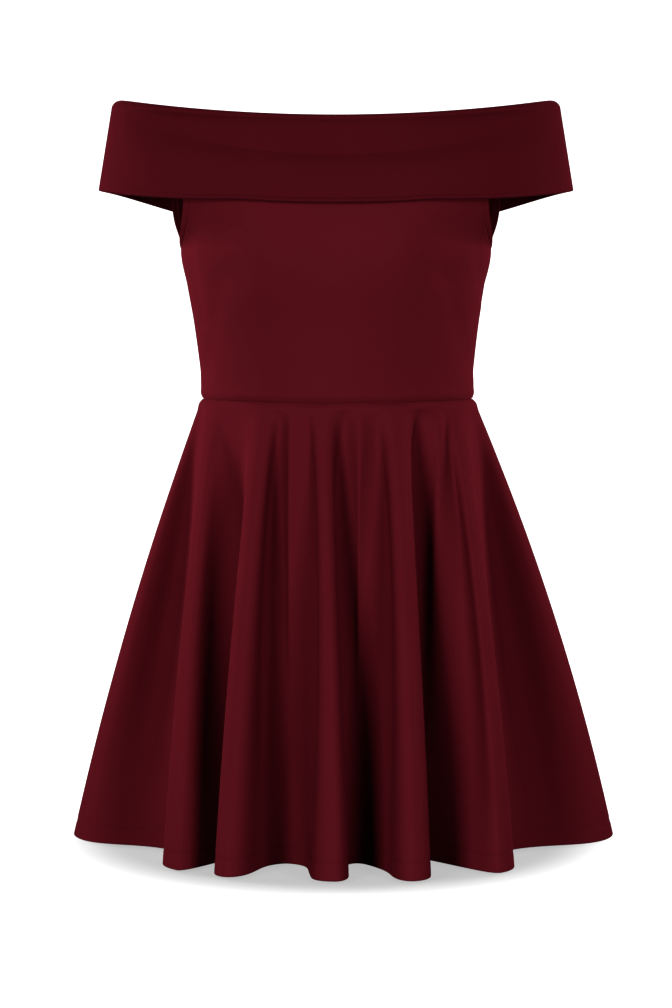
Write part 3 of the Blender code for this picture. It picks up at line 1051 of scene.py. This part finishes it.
# The glow is dimmer near the hem, which paints a soft shadow round it.
near = start.node(
    "ShaderNodeMapRange",
    {"interpolation_type": "SMOOTHSTEP"},
    {
        "Value": away, "From Min": PAINTED_SHADOW_FROM, "From Max": PAINTED_SHADOW_TO,
        "To Min": PAINTED_SHADOW_GLOW, "To Max": 1.0,
    },
)
glow_and_painted_shadow = seen * near
paint.node_tree.links.new(glow_and_painted_shadow.output, floor_shader.inputs["Emission Strength"])
floor_shader.inputs["Emission Color"].default_value = WHITE
floor_shader.inputs["Base Color"].default_value = FLOOR_GREY
floor_shader.inputs["Roughness"].default_value = 0.9
floor.data.materials.append(paint)

world = bpy.data.worlds.new("studio_air")
bpy.context.scene.world = world
world.use_nodes = True
background = world.node_tree.nodes["Background"]
start = Socket(world.node_tree)
seen = start.node("ShaderNodeLightPath", output="Is Camera Ray")
strength = seen * (AIR_SEEN - AIR_LIGHT) + AIR_LIGHT
world.node_tree.links.new(strength.output, background.inputs["Strength"])
background.inputs["Color"].default_value = WHITE
bpy.context.scene.view_settings.view_transform = "Standard"
bpy.context.scene.view_settings.look = "High Contrast"
print("floor faces:", len(floor.data.polygons))

# %% Lamps
DRESS_MIDDLE = (0, 0, -0.3)
CHEST = (0, 0, -0.12)


def soft_lamp(name, place, width, height, power, aim=DRESS_MIDDLE, beam=180):
    """A flat lamp that isn't seen itself. It faces its aim, and its beam is this many degrees."""
    data = bpy.data.lights.new(name, "AREA")
    data.shape = "RECTANGLE"
    data.size = width
    data.size_y = height
    data.energy = power
    data.spread = math.radians(beam)
    lamp = bpy.data.objects.new(name, data)
    lamp.location = place
    lamp.rotation_euler = (Vector(aim) - Vector(place)).to_track_quat("-Z", "Y").to_euler()
    lamp.visible_camera = False
    bpy.context.scene.collection.objects.link(lamp)


soft_lamp("front_left_lamp", (-1.5, -2.27, 0.05), 0.9, 1.4, 57)
soft_lamp("front_right_lamp", (1.5, -2.27, 0.05), 0.9, 1.4, 44)
soft_lamp("left_side_lamp", (-1.6, 0.6, 0.1), 0.5, 0.8, 4.8, CHEST, 60)
soft_lamp("right_side_lamp", (1.6, 0.6, 0.1), 0.5, 0.8, 4.0, CHEST, 60)
soft_lamp("back_lamp", (0.7, 2.4, 0.8), 1.4, 1.4, 12)
soft_lamp("top_lamp", (0, -0.2, 2.1), 2.4, 2.4, 10)
print("lamps:", len(bpy.data.lights))

# %% Camera
# The lens looks level at the bodice from 2.37 m away, and the picture is shifted down to take in
# the hem, as a view camera does, so that upright lines stay upright.
CAMERA_DISTANCE = 2.37
CAMERA_HEIGHT = -0.16625
SENSOR = 36
ROW_HEIGHT = 0.95 * MM
PICTURE_ROWS = 1008
ROWS_DOWN = 174
camera_data = bpy.data.cameras.new("camera")
camera = bpy.data.objects.new("camera", camera_data)
bpy.context.scene.collection.objects.link(camera)
bpy.context.scene.camera = camera
camera.location = (0, -CAMERA_DISTANCE, CAMERA_HEIGHT)
camera.rotation_euler = (math.radians(90), 0, 0)
camera_data.lens = SENSOR * CAMERA_DISTANCE / (PICTURE_ROWS * ROW_HEIGHT)
camera_data.shift_y = -ROWS_DOWN / PICTURE_ROWS
print("lens:", round(camera_data.lens, 1), "mm")
